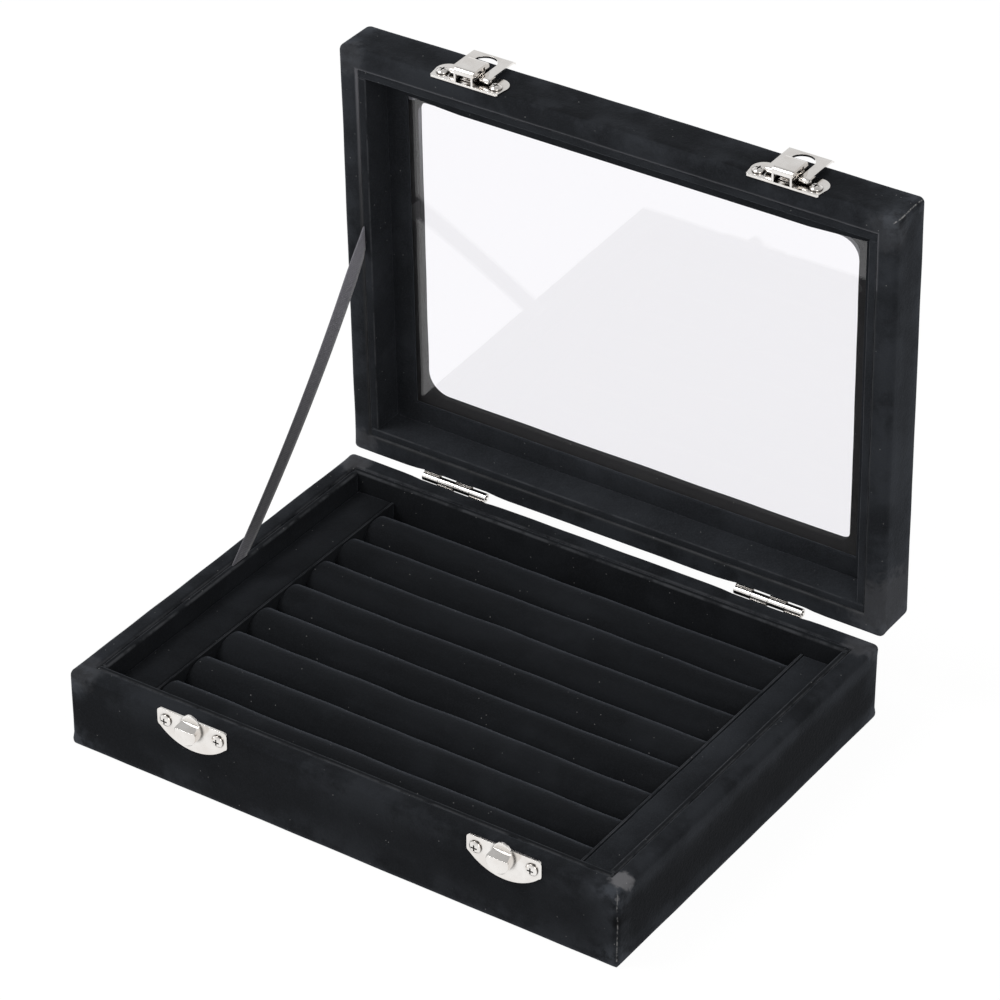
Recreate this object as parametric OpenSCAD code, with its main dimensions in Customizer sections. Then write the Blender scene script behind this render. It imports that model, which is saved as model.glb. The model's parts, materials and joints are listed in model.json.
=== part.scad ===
// Ring display box: a velvet-covered wooden tray of eight padded ring rolls under a hinged,
// glazed lid, with two sprung duck-bill latches in front, two knuckle hinges behind and one
// ribbon stay. X is right, Y is back, Z is up. The origin is the middle of the underside.

/* [Box] */
// Overall width of the box
box_w = 200; // [185:1:240]
// Overall depth of the box
box_d = 150; // [142:1:180]
// Height of the base, from the table to its rim
base_h = 28; // [26:0.5:40]
// Height of the lid, from its rim to its top
lid_h = 17; // [16:0.5:26]
// Radius of the soft outer edges
edge_r = 1; // [0.9:0.1:2.4]
// Thickness of the velvet and its paper backing
cloth_t = 0.6; // [0.4:0.05:0.8]
// Gap between the two rims when the box is shut
parting_gap = 0.2; // [0.2:0.05:0.5]
// How far the lid stands open against its stay, in degrees
lid_open_angle = 88.35; // [60:0.5:95]

/* [Base] */
// Finished wall of the base, velvet on both faces included
base_wall = 5.2; // [4.6:0.1:7]
// Thickness of the floor board
floor_t = 3; // [2:0.1:4]
// Thickness of the felt under the box
felt_t = 0.3; // [0.2:0.05:1]
// How far the felt stops inside the base's outline
felt_inset = 1; // [0.5:0.1:4]
// Radius of the felt's corners
felt_corner_r = 2; // [1:0.5:6]
// Width of the velvet hem that is turned under the floor
hem_w = 12; // [6:1:25]
// Thickness of the velvet-covered liner cards in the base
base_liner_t = 2.4; // [1.5:0.1:3.5]
// How far the liner cards stop below the rim
liner_drop = 0.5; // [0.2:0.1:1.5]

/* [Ring tray] */
// Thickness of the card under the rolls
tray_card_t = 2; // [1:0.1:3]
// Height of a roll above that card
roll_h = 14.7; // [11:0.1:16]
// Length of a roll
roll_l = 155.4; // [120:0.2:158]
// Room between the outer rolls and the front and back liner cards
roll_end_room = 3.16; // [1:0.02:6]
// Gap between the straight sides of neighbouring rolls
roll_gap = 0.3; // [0.2:0.05:0.6]
// Thickness of the divider cards at the ends of the rolls
divider_t = 0.8; // [0.5:0.1:1.5]
// Height of the divider cards above the tray card
divider_h = 14.9; // [12:0.1:17]
// Height of the padded strips beside the rolls above the tray card
strip_h = 14.4; // [10:0.1:16]
// Radius of the strips' soft top edges
strip_r = 1.6; // [0.5:0.1:3]
// Room left round pieces that drop into the tray
tray_fit = 0.2; // [0.1:0.05:0.4]

/* [Lid] */
// Finished wall of the lid, velvet on both faces included
lid_wall = 6; // [5:0.1:8]
// Margin of velvet-covered panel round the window
lid_margin = 20; // [18:0.5:30]
// Radius of the window's corners
window_r = 4; // [2:0.5:8]
// Thickness of the panel that the window is cut in, velvet included
panel_t = 2.5; // [2:0.1:3.5]
// Thickness of the glass
glass_t = 1.2; // [1:0.1:2]
// How far the glass runs under the panel
glass_lap = 8; // [5.5:0.5:9]
// Thickness of the retainer's lip below the glass
retainer_lip_t = 0.8; // [0.5:0.1:1.5]
// How far the retainer stands back from the window's edge
retainer_set_back = 3.7; // [2:0.1:4.5]
// Room round the glass and under it
glass_fit = 0.15; // [0.05:0.05:0.3]
// Thickness of the velvet-covered liner cards in the lid
lid_liner_t = 2.9; // [1.5:0.1:3.5]

/* [Latches] */
// Distance of the left latch from the box's left side
latch_left_in = 46.7; // [36:0.1:60]
// Distance of the right latch from the box's right side
latch_right_in = 39; // [36:0.1:60]
// Thickness of the plated sheet
sheet_t = 0.7; // [0.5:0.05:0.9]
// Width of the latch plate
latch_w = 26.4; // [25.6:0.2:32]
// How much narrower the plate is at the lid's rim, at each end
latch_taper = 0.7; // [0:0.1:1]
// Height of the latch plate above the lid's rim
latch_h = 9.4; // [9.2:0.1:11]
// Radius of the latch plate's two lobes
lobe_r = 4.4; // [4:0.1:4.6]
// Width of the hood pressed up from the latch plate
hood_w = 7; // [6:0.1:7.2]
// Length of the hood
hood_l = 9.5; // [8:0.1:9.6]
// Height of the hood above the lid's face
hood_h = 5.5; // [5.2:0.1:7]
// Radius of the hood's round edges
hood_r = 1.6; // [1:0.1:2]
// Distance of the hood from the lid's rim
hood_rise = 0.1; // [0.1:0.05:0.6]
// Height of the pin above the lid's rim
pin_rise = 4; // [3.6:0.1:4.6]
// Height of the latch plate's screws above the lid's rim
latch_screw_rise = 3.5; // [3:0.1:4.5]
// Height of the pin above the lid's face
pin_out = 1.9; // [1.9:0.05:2.6]
// Radius of the latch pin
pin_r = 0.4; // [0.3:0.05:0.45]
// Running clearance of the flap on its pin
pin_fit = 0.05; // [0.03:0.01:0.08]
// Width of the flap
flap_w = 14.9; // [14:0.1:15]
// Length of the flap from its pin to its tip
flap_l = 15; // [14.8:0.1:16.4]
// How far the flap's tip curls
flap_curl = 1.2; // [0.4:0.1:1.4]
// Width of the window in the flap
flap_window_w = 8.3; // [8.2:0.1:8.6]
// Distance of the window's end from the pin
flap_window_l = 12.2; // [12.2:0.1:12.6]
// Gap between the flap and the catch plate when shut
flap_clear = 0.3; // [0.2:0.05:0.4]
// Thickness of the leaf spring in the hood
spring_t = 0.25; // [0.2:0.05:0.4]
// Width of the leaf spring
spring_w = 4.6; // [3:0.1:4.8]

/* [Catches] */
// Width of the catch plate
catch_w = 26.4; // [25.6:0.2:32]
// Height of the catch plate's straight ends
catch_end_h = 6.5; // [6:0.1:7.5]
// Depth of the catch plate's smile below its ends
catch_smile = 5; // [3:0.1:5.5]
// Distance of the catch plate's straight edge below the rim
catch_drop = 0.3; // [0.2:0.1:1]
// Distance of the catch plate's screws below the rim
catch_screw_drop = 4; // [3.6:0.1:4.6]
// Radius of the lobe in the middle of that edge
catch_lobe_r = 3.1; // [2.6:0.1:3.1]
// How far that lobe stands above the rim, in the hood's mouth
catch_lobe_rise = 1.8; // [0.4:0.1:1.9]
// Gap between that lobe and the latch plate behind it
catch_lobe_gap = 0.15; // [0.1:0.05:0.3]
// Radius of the catch plate's corners
catch_corner_r = 1.4; // [0.5:0.1:2]
// Width of the boss that the flap hooks under
boss_w = 7.9; // [7:0.1:8]
// Height of the boss
boss_h = 5.4; // [4.8:0.1:5.4]
// Distance of the boss's flat top below the rim
boss_drop = 2; // [1.6:0.1:2]
// Distance of that top's root below the rim
boss_root_drop = 0.4; // [0.3:0.1:1.2]
// Width of that top
boss_flat_w = 6.2; // [5:0.1:6.2]
// How far the boss stands off the base's face
boss_out = 4.6; // [3.6:0.1:4.7]

/* [Screws] */
// Half the spacing of a plate's two screws
screw_off = 9.9; // [9.9:0.1:10.2]
// Radius of a screw's head
head_r = 2; // [1.8:0.05:2.1]
// Height of a screw's head
head_h = 1.1; // [0.6:0.1:1.1]
// Radius of a screw's shank
shank_r = 0.9; // [0.6:0.05:1]
// Length of a screw's shank from the face that it enters
shank_l = 4; // [3:0.1:4.2]
// Clearance of a shank in its hole
shank_fit = 0.05; // [0.03:0.01:0.08]

/* [Hinges] */
// Distance of each hinge's middle from the box's side
hinge_in = 40; // [28:0.5:60]
// Length of a hinge
hinge_l = 25; // [22:0.5:32]
// Distance of the hinge axis behind the box
hinge_out = 1.93; // [1.85:0.01:2.4]
// Radius of a knuckle
knuckle_r = 1.5; // [1.4:0.05:1.6]
// Gap between neighbouring knuckles
knuckle_gap = 0.2; // [0.1:0.05:0.3]
// Radius of the hinge pin
hinge_pin_r = 0.7; // [0.5:0.05:0.8]
// Running clearance of the lid's knuckles on the pin
hinge_fit = 0.05; // [0.03:0.01:0.08]
// Thickness of a leaf
leaf_t = 0.7; // [0.5:0.05:0.9]
// Height of a leaf from the hinge axis
leaf_h = 10; // [9:0.5:12]
// Half the spacing of a leaf's two screws
leaf_screw_off = 8; // [6:0.5:8.5]
// Distance of those screws from the hinge axis
leaf_screw_rise = 6; // [5:0.1:6.5]

/* [Ribbon stay] */
// Width of the ribbon
ribbon_w = 6; // [5:0.5:10]
// Thickness of the ribbon
ribbon_t = 0.4; // [0.2:0.05:0.6]
// Where the ribbon leaves the base, behind the middle
ribbon_base_y = 3.2; // [-20:0.2:20]
// Where the ribbon leaves the lid, behind the middle
ribbon_lid_y = -7.2; // [-20:0.2:20]
// Length of ribbon tucked behind each liner card
ribbon_tuck = 9; // [4:0.5:10]
// Room for the ribbon behind the liner card
ribbon_fit = 0.15; // [0.1:0.05:0.3]

/* [Hidden] */
$fn = 48;
// A cut passes this far through what it cuts
through = 1;
roll_count = 8;
// The latch plate's corners are cut off this far
plate_cut = 0.4;
// The catch plate's smile starts this far in from its ends
smile_step = 1;
// The boss's front edge is bevelled this far
boss_bevel = 0.3;
// The latch spring starts this far above the catch plate's lobe
spring_room = 0.4;
// Radius of the flap's corners
flap_corner_r = 0.8;
// The flap bends this far beyond its window
flap_bend_off = 1;
// Room round a knuckle in the other leaf
knuckle_room = 0.4;
// How far a hinge pin stands out at each end
hinge_pin_proud = 0.3;
// Room for the ribbon to turn in, at each side
ribbon_turn_room = 2.1;
velvet_colour = [0.15, 0.16, 0.18];
wood_colour = [0.72, 0.58, 0.42];
card_colour = [0.45, 0.44, 0.43];
nickel_colour = [0.86, 0.85, 0.83];

// Heights, from the table
board_bottom = felt_t + cloth_t;
floor_top = board_bottom + floor_t;
tray_top = floor_top + tray_card_t;
lid_rim = base_h + parting_gap;
lid_top = lid_rim + lid_h;
hinge_z = base_h + parting_gap / 2;
hinge_y = box_d / 2 + hinge_out;
panel_bottom = lid_top - panel_t;
glass_bottom = panel_bottom - glass_t;
retainer_bottom = glass_bottom - glass_fit - retainer_lip_t;

// Clear widths and depths: each list is [width, depth]
box_size = [box_w, box_d];
base_well = box_size - [2, 2] * base_wall;
base_liner_well = base_well - [2, 2] * base_liner_t;
lid_well = box_size - [2, 2] * lid_wall;
lid_liner_well = lid_well - [2, 2] * lid_liner_t;
window = box_size - [2, 2] * lid_margin;
glass_size = window + [2, 2] * glass_lap;
retainer_window = window + [2, 2] * retainer_set_back;

roll_pitch = (base_liner_well[1] - 2 * roll_end_room) / roll_count;
roll_w = roll_pitch - roll_gap;
divider_x = roll_l / 2 + tray_fit;
strip_x0 = divider_x + divider_t;
strip_x1 = base_liner_well[0] / 2 - tray_fit;
tray_depth = base_liner_well[1] - 2 * tray_fit;

latch_xs = [latch_left_in - box_w / 2, box_w / 2 - latch_right_in];
hinge_xs = [hinge_in - box_w / 2, box_w / 2 - hinge_in];
knuckle_count = 4;
knuckle_pitch = hinge_l / knuckle_count;
bore_r = shank_r + shank_fit;
curl_r = pin_out - sheet_t - flap_clear;
rivet_t = 0.15;
// A pin's clearance in the pieces that hold it
pin_hold = 0.01;
rivet_gap = 0.1;
leaf_edge = parting_gap / 2 + 0.15;
ribbon_slot_w = ribbon_w + 2 * ribbon_turn_room;
ribbon_x = -(min(base_well[0], lid_well[0]) / 2 - ribbon_fit - ribbon_t / 2);

// ---- Shared shapes ----

// A rectangle with round corners, about the middle
module soft_rect(size, r) {
    square([size[0] - 2 * r, size[1]], center = true);
    square([size[0], size[1] - 2 * r], center = true);
    for (sx = [-1, 1], sy = [-1, 1])
        translate([sx * (size[0] / 2 - r), sy * (size[1] / 2 - r)]) circle(r);
}

// Draws a Y-Z outline out to a length along X, about the middle
module along_x(length) {
    rotate([90, 0, 90]) linear_extrude(length, center = true) children();
}

// Draws an X-Z outline out to a length along Y, about the middle
module along_y(length) {
    rotate([90, 0, 0]) linear_extrude(length, center = true) children();
}

// A block with all its edges softened, standing on z = 0
module soft_block(size, h, r) {
    intersection() {
        linear_extrude(h) soft_rect(size, r);
        translate([0, 0, h / 2]) along_x(size[0]) soft_rect([size[1], h], r);
        translate([0, 0, h / 2]) along_y(size[1]) soft_rect([size[0], h], r);
    }
}

// A plain block of [width, depth] about the middle, between two heights
module slab(size, z0, z1) {
    translate([-size[0] / 2, -size[1] / 2, z0]) cube([size[0], size[1], z1 - z0]);
}

// A flat frame between two heights
module frame(outer, inner, z0, z1) {
    difference() {
        slab(outer, z0, z1);
        slab(inner, z0 - through, z1 + through);
    }
}

// Puts pieces drawn across, up and out on the front face at a height
module on_front(x, z) {
    translate([x, -box_d / 2, z]) rotate([90, 0, 0]) children();
}

// Puts pieces drawn across, up and out on the back face at a height
module on_back(x, z) {
    translate([x, box_d / 2, z]) rotate([90, 0, 180]) children();
}

// Swings what is drawn on the shut lid to where the open lid stands
module open_lid() {
    translate([0, hinge_y, hinge_z]) rotate([-lid_open_angle, 0, 0])
        translate([0, -hinge_y, -hinge_z]) children();
}

// A raised-head cross-slot screw that enters the face at z = 0 through a sheet
module screw(sheet) {
    rim_h = head_h / 2;
    crown_r = head_r * 0.6;
    slot_w = head_r / 4;
    slot_l = head_r * 1.1;
    difference() {
        union() {
            translate([0, 0, -shank_l]) cylinder(r = shank_r, h = shank_l + sheet);
            translate([0, 0, sheet]) cylinder(r = head_r, h = rim_h);
            translate([0, 0, sheet + rim_h])
                cylinder(r1 = head_r, r2 = crown_r, h = head_h - rim_h);
        }
        for (turn = [0, 90])
            rotate([0, 0, turn]) translate([-slot_l / 2, -slot_w / 2, sheet + rim_h])
                cube([slot_l, slot_w, head_h]);
    }
}

// The hole for a screw's shank, through a sheet and into the wood
module shank_hole(sheet) {
    translate([0, 0, -shank_l - shank_fit]) cylinder(r = bore_r, h = shank_l + sheet + through);
}

// ---- Where the screws go ----

module at_catch_screws() {
    for (x = latch_xs, side = [-1, 1])
        on_front(x + side * screw_off, base_h - catch_screw_drop) children();
}

module at_latch_screws() {
    for (x = latch_xs, side = [-1, 1])
        on_front(x + side * screw_off, lid_rim + latch_screw_rise) children();
}

module at_base_leaf_screws() {
    for (x = hinge_xs, side = [-1, 1])
        on_back(x + side * leaf_screw_off, hinge_z - leaf_screw_rise) children();
}

module at_lid_leaf_screws() {
    for (x = hinge_xs, side = [-1, 1])
        on_back(x + side * leaf_screw_off, hinge_z + leaf_screw_rise) children();
}

// ---- Base ----

module base_core() {
    translate([0, 0, board_bottom])
        soft_block(box_size - [2, 2] * cloth_t, base_h - cloth_t - board_bottom,
                   edge_r - cloth_t);
}

// One wall board of the base: side is [1, 0] for right, [0, -1] for front and so on
module base_board(side) {
    well = base_well + [2, 2] * cloth_t;
    color(wood_colour) difference() {
        intersection() {
            base_core();
            if (side[1] != 0)
                translate([0, side[1] * box_d / 2, 0])
                    slab([box_w, box_d - well[1]], 0, base_h);
            else
                translate([side[0] * box_w / 2, 0, 0])
                    slab([box_w - well[0], well[1]], 0, base_h);
        }
        at_catch_screws() shank_hole(0);
        at_base_leaf_screws() shank_hole(0);
    }
}

module base_floor_board() {
    color(wood_colour) slab(base_well + [2, 2] * cloth_t, board_bottom, floor_top);
}

// The velvet: round the outside, over the rim, down inside and turned under the floor
module base_velvet() {
    color(velvet_colour) difference() {
        translate([0, 0, felt_t]) soft_block(box_size, base_h - felt_t, edge_r);
        difference() {
            base_core();
            slab(base_well + [2, 2] * cloth_t, floor_top, base_h + through);
        }
        slab(base_well, floor_top, base_h + through);
        slab(box_size - [2, 2] * hem_w, 0, board_bottom + through);
        at_catch_screws() shank_hole(0);
        at_base_leaf_screws() shank_hole(0);
    }
}

module base_felt() {
    color(velvet_colour) linear_extrude(felt_t)
        soft_rect(box_size - [2, 2] * felt_inset, felt_corner_r);
}

// One liner card of the base. The left one is thinned where the ribbon runs behind it.
module base_liner(side) {
    well = base_well - [2, 2] * tray_fit / 2;
    top = base_h - liner_drop;
    color(velvet_colour) difference() {
        if (side[1] != 0)
            translate([0, side[1] * (well[1] - base_liner_t) / 2, 0])
                slab([well[0], base_liner_t], floor_top, top);
        else
            translate([side[0] * (well[0] - base_liner_t) / 2, 0, 0])
                slab([base_liner_t, base_liner_well[1] - tray_fit], floor_top, top);
        if (side[0] < 0)
            ribbon_slot(ribbon_base_y, base_h - ribbon_tuck - ribbon_fit, base_h);
    }
}

// ---- Ring tray ----

module tray_card() {
    color(card_colour) slab([2 * strip_x1, tray_depth], floor_top, tray_top);
}

// A padded roll: flat sides below, half round above. Roll 1 is at the back.
module ring_roll(number) {
    y = (roll_count / 2 + 0.5 - number) * roll_pitch;
    color(velvet_colour) translate([0, y, tray_top]) along_x(roll_l) intersection() {
        union() {
            translate([-roll_w / 2, 0]) square([roll_w, roll_h - roll_w / 2]);
            translate([0, roll_h - roll_w / 2]) circle(roll_w / 2);
        }
        translate([-roll_w / 2, 0]) square([roll_w, roll_h]);
    }
}

module divider(side) {
    color(velvet_colour) translate([side * (divider_x + divider_t / 2), 0, 0])
        slab([divider_t, tray_depth - 2 * tray_fit], tray_top, tray_top + divider_h);
}

// The padded strip between a divider and the side liner card
module end_strip(side) {
    w = strip_x1 - strip_x0 - tray_fit;
    color(velvet_colour) translate([side * (strip_x0 + strip_x1) / 2, 0, tray_top])
        intersection() {
            slab([w, tray_depth - 2 * tray_fit], 0, strip_h);
            translate([0, 0, strip_h / 2 - strip_r]) along_y(tray_depth)
                soft_rect([w, strip_h + 2 * strip_r], strip_r);
        }
}

// ---- Catches on the base ----

// A plate with one straight edge above and a smile below
module catch_outline() {
    smile_half = catch_w / 2 - smile_step;
    smile_r = (smile_half * smile_half + catch_smile * catch_smile) / (2 * catch_smile);
    low = -catch_drop - catch_end_h;
    translate([0, low + catch_end_h / 2]) soft_rect([catch_w, catch_end_h], catch_corner_r);
    intersection() {
        translate([0, low - catch_smile + smile_r]) circle(smile_r, $fn = 96);
        translate([-smile_half, low - catch_smile - through])
            square([2 * smile_half, catch_smile + 2 * through]);
    }
}

// The boss: its top is flat and slopes down from the plate, and it is round below
module boss() {
    r = boss_w / 2;
    low = -boss_drop - boss_h;
    front = boss_out - boss_bevel;
    intersection() {
        translate([0, low + r, 0]) union() {
            cylinder(r = r, h = front);
            translate([0, 0, front]) cylinder(r1 = r, r2 = r - boss_bevel, h = boss_bevel);
            translate([-boss_flat_w / 2, 0, 0]) cube([boss_flat_w, r, boss_out]);
        }
        along_x(boss_w + through) polygon([[low - through, 0], [-boss_root_drop, 0],
            [-boss_drop, boss_out], [low - through, boss_out]]);
    }
}

// The lobe above the boss: what stands above the plate passes in front of the latch plate
module catch_lobe() {
    back = sheet_t + catch_lobe_gap;
    difference() {
        translate([0, catch_lobe_rise - catch_lobe_r, 0])
            cylinder(r = catch_lobe_r, h = back + sheet_t);
        translate([-catch_lobe_r, -catch_drop, -through])
            cube([2 * catch_lobe_r, catch_lobe_r + through, back + through]);
    }
}

module catch_plate(x) {
    color(nickel_colour) on_front(x, base_h) difference() {
        union() {
            linear_extrude(sheet_t) catch_outline();
            catch_lobe();
            boss();
        }
        for (side = [-1, 1])
            translate([side * screw_off, -catch_screw_drop, 0]) shank_hole(sheet_t);
    }
}

module catch_screws() {
    color(nickel_colour) at_catch_screws() screw(sheet_t);
}

// ---- Hinges ----

// Knuckle number 0 to 3 from the left, drawn along X about the hinge axis
module knuckle(x, number, bore) {
    length = knuckle_pitch - knuckle_gap;
    translate([x - hinge_l / 2 + (number + 0.5) * knuckle_pitch, hinge_y, hinge_z])
        along_x(length) difference() {
            circle(knuckle_r);
            circle(bore);
        }
}

// Half a hinge. Up is 1 for the lid's leaf and -1 for the base's, and the shut lid is drawn.
module hinge_leaf(x, up, first_knuckle, bore) {
    notch_h = knuckle_r + knuckle_room;
    color(nickel_colour) difference() {
        union() {
            on_back(x, hinge_z) linear_extrude(leaf_t)
                translate([-hinge_l / 2, up > 0 ? leaf_edge : -leaf_h])
                    square([hinge_l, leaf_h - leaf_edge]);
            for (number = [first_knuckle, first_knuckle + 2]) {
                knuckle(x, number, bore);
                translate([x - hinge_l / 2 + (number + 0.5) * knuckle_pitch, 0, 0])
                    leaf_web(up);
            }
        }
        for (number = [1 - first_knuckle, 3 - first_knuckle])
            translate([x - hinge_l / 2 + number * knuckle_pitch - knuckle_gap / 2,
                       box_d / 2 - through, hinge_z + (up > 0 ? -through : -notch_h)])
                cube([knuckle_pitch + knuckle_gap, hinge_out + through, notch_h + through]);
        translate([x, hinge_y, hinge_z]) along_x(hinge_l + through) circle(bore);
        for (side = [-1, 1])
            on_back(x + side * leaf_screw_off, hinge_z + up * leaf_screw_rise)
                shank_hole(leaf_t);
    }
}

// The bend that carries a knuckle on its leaf
module leaf_web(up) {
    length = knuckle_pitch - knuckle_gap;
    z0 = up > 0 ? leaf_edge : -knuckle_r;
    translate([-length / 2, box_d / 2, hinge_z + z0])
        cube([length, hinge_out, knuckle_r - leaf_edge]);
}

// The base's knuckles hold the pin. The lid's turn on it.
module base_leaf(x) {
    hinge_leaf(x, -1, 1, hinge_pin_r + pin_hold);
}

module lid_leaf(x) {
    open_lid() hinge_leaf(x, 1, 0, hinge_pin_r + hinge_fit);
}

module hinge_pin(x) {
    color(nickel_colour) translate([x, hinge_y, hinge_z])
        along_x(hinge_l + 2 * hinge_pin_proud) circle(hinge_pin_r);
}

module hinge_base_screws() {
    color(nickel_colour) at_base_leaf_screws() screw(leaf_t);
}

module hinge_lid_screws() {
    color(nickel_colour) open_lid() at_lid_leaf_screws() screw(leaf_t);
}

// ---- Lid, drawn shut and swung open ----

module lid_core() {
    translate([0, 0, lid_rim + cloth_t])
        soft_block(box_size - [2, 2] * cloth_t, lid_h - 2 * cloth_t, edge_r - cloth_t);
}

module lid_board(side) {
    well = lid_well + [2, 2] * cloth_t;
    color(wood_colour) open_lid() difference() {
        intersection() {
            lid_core();
            if (side[1] != 0)
                translate([0, side[1] * box_d / 2, 0])
                    slab([box_w, box_d - well[1]], lid_rim, panel_bottom);
            else
                translate([side[0] * box_w / 2, 0, 0])
                    slab([box_w - well[0], well[1]], lid_rim, panel_bottom);
        }
        at_latch_screws() shank_hole(0);
        at_lid_leaf_screws() shank_hole(0);
    }
}

module lid_panel_solid() {
    difference() {
        intersection() {
            lid_core();
            slab(box_size, panel_bottom, lid_top);
        }
        translate([0, 0, panel_bottom - through]) linear_extrude(panel_t + 2 * through)
            soft_rect(window + [2, 2] * cloth_t, window_r + cloth_t);
    }
}

module lid_panel() {
    color(wood_colour) open_lid() lid_panel_solid();
}

// The velvet: round the outside, over the rim, down inside and through the window's edge
module lid_velvet() {
    color(velvet_colour) open_lid() difference() {
        translate([0, 0, lid_rim]) soft_block(box_size, lid_h, edge_r);
        difference() {
            lid_core();
            slab(lid_well + [2, 2] * cloth_t, lid_rim - through, panel_bottom);
            translate([0, 0, panel_bottom]) linear_extrude(panel_t)
                soft_rect(window + [2, 2] * cloth_t, window_r + cloth_t);
        }
        slab(lid_well, lid_rim - through, panel_bottom);
        translate([0, 0, panel_bottom - through]) linear_extrude(panel_t + 2 * through)
            soft_rect(window, window_r);
        at_latch_screws() shank_hole(0);
        at_lid_leaf_screws() shank_hole(0);
    }
}

module glass_pane() {
    color([0.85, 0.92, 0.9, 0.4]) open_lid() slab(glass_size, glass_bottom, panel_bottom);
}

// The rebated frame that traps the glass against the panel
module glass_retainer() {
    color(velvet_colour) open_lid() difference() {
        frame(lid_well - [2, 2] * glass_fit, retainer_window, retainer_bottom, panel_bottom);
        slab(glass_size + [2, 2] * glass_fit, glass_bottom - glass_fit,
             panel_bottom + through);
    }
}

// One liner card of the lid. The left one is thinned where the ribbon runs behind it.
module lid_liner(side) {
    well = lid_well - [2, 2] * tray_fit / 2;
    low = lid_rim + liner_drop;
    color(velvet_colour) open_lid() difference() {
        if (side[1] != 0)
            translate([0, side[1] * (well[1] - lid_liner_t) / 2, 0])
                slab([well[0], lid_liner_t], low, retainer_bottom);
        else
            translate([side[0] * (well[0] - lid_liner_t) / 2, 0, 0])
                slab([lid_liner_t, lid_liner_well[1] - tray_fit], low, retainer_bottom);
        if (side[0] < 0)
            ribbon_slot(ribbon_lid_y, lid_rim, lid_rim + ribbon_tuck + ribbon_fit);
    }
}

// ---- Latches on the lid ----

// A plate with one straight edge, two round lobes and a tongue under the hood
module latch_outline() {
    half = latch_w / 2;
    front = half - latch_taper;
    lobe_y = latch_h - lobe_r;
    polygon([[-front + plate_cut, 0], [front - plate_cut, 0], [front, plate_cut],
             [half, lobe_y], [-half, lobe_y], [-front, plate_cut]]);
    for (side = [-1, 1])
        translate([side * (half - lobe_r), lobe_y]) circle(lobe_r);
    translate([-hood_w / 2, 0]) square([hood_w, latch_h]);
}

// The hood's side outline, with y along the plate and z off it
module hood_side(inset) {
    r = hood_r - inset;
    l = hood_l - 2 * inset;
    h = hood_h - inset;
    translate([inset, 0]) {
        square([l, h - r]);
        translate([r, 0]) square([l - 2 * r, h]);
        for (y = [r, l - r])
            translate([y, h - r]) circle(r);
    }
}

// What is open under the hood: its inside and its mouth towards the rim
module hood_hollow() {
    hood_side(sheet_t);
    translate([-through, 0]) square([hood_l / 2, hood_h - hood_r - sheet_t / 2]);
}

// The opening in each cheek of the hood, above the pin
module cheek_opening() {
    low = pin_out + pin_r + sheet_t / 2;
    high = hood_h - sheet_t - spring_t;
    translate([sheet_t, low]) square([hood_l - hood_r - 2 * sheet_t, high - low]);
}

module latch_plate(x) {
    color(nickel_colour) open_lid() on_front(x, lid_rim) difference() {
        union() {
            linear_extrude(sheet_t) latch_outline();
            translate([0, hood_rise, 0]) difference() {
                along_x(hood_w) hood_side(0);
                along_x(hood_w - 2 * sheet_t) hood_hollow();
                along_x(hood_w + through) cheek_opening();
            }
        }
        translate([0, pin_rise, pin_out]) along_x(hood_w + through) circle(pin_r + pin_hold);
        for (side = [-1, 1])
            translate([side * screw_off, latch_screw_rise, 0]) shank_hole(sheet_t);
    }
}

module latch_pin(x) {
    rivet_x = flap_w / 2 + rivet_gap;
    color(nickel_colour) open_lid() on_front(x, lid_rim)
        translate([0, pin_rise, pin_out]) union() {
            along_x(2 * rivet_x) circle(pin_r);
            for (side = [-1, 1])
                translate([side * (rivet_x + rivet_t / 2), 0, 0]) along_x(rivet_t)
                    circle(pin_r * 1.5);
        }
}

// A bent leaf that presses the flap to its stops: it lies on the plate behind the pin, rises
// to the pin and dips again towards the hood's mouth
module latch_spring(x) {
    gap = 0.05;
    dip = 0.3;
    lie = pin_rise + 2.3;
    top = pin_out - pin_r - gap;
    y0 = catch_lobe_rise - parting_gap + spring_room;
    y1 = hood_rise + hood_l - 2 * sheet_t;
    color(nickel_colour) open_lid() on_front(x, lid_rim) along_x(spring_w)
        polygon([[y1, sheet_t], [y1, sheet_t + spring_t], [lie, sheet_t + spring_t],
                 [pin_rise, top], [y0, top - dip],
                 [y0, top - dip - spring_t], [pin_rise, top - spring_t], [lie, sheet_t]]);
}

module latch_screws() {
    color(nickel_colour) open_lid() at_latch_screws() screw(sheet_t);
}

// The duck-bill flap, laid back open: a bent sheet cut to its outline
module latch_flap(x) {
    tip_r = flap_corner_r;
    top = pin_out + curl_r;
    bend = flap_window_l + flap_bend_off;
    color(nickel_colour) open_lid() on_front(x, lid_rim) translate([0, pin_rise, 0])
        difference() {
            intersection() {
                along_x(flap_w) union() {
                    translate([0, pin_out]) circle(curl_r);
                    polygon([[0, top - sheet_t], [bend, top - sheet_t],
                             [flap_l, top - sheet_t - flap_curl], [flap_l, top - flap_curl],
                             [bend, top], [0, top]]);
                }
                linear_extrude(hood_h) union() {
                    translate([-flap_w / 2, -2 * curl_r])
                        square([flap_w, flap_l + 2 * curl_r - tip_r]);
                    translate([-flap_w / 2 + tip_r, 0]) square([flap_w - 2 * tip_r, flap_l]);
                    for (side = [-1, 1])
                        translate([side * (flap_w / 2 - tip_r), flap_l - tip_r]) circle(tip_r);
                }
            }
            translate([0, 0, -through]) linear_extrude(hood_h + 2 * through) union() {
                translate([0, flap_window_l - flap_window_w / 2]) circle(flap_window_w / 2);
                translate([-flap_window_w / 2, -3 * curl_r])
                    square([flap_window_w, flap_window_l - flap_window_w / 2 + 3 * curl_r]);
            }
            translate([0, 0, pin_out]) along_x(flap_w + through) circle(pin_r + pin_fit);
        }
}

// ---- Ribbon stay ----

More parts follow.
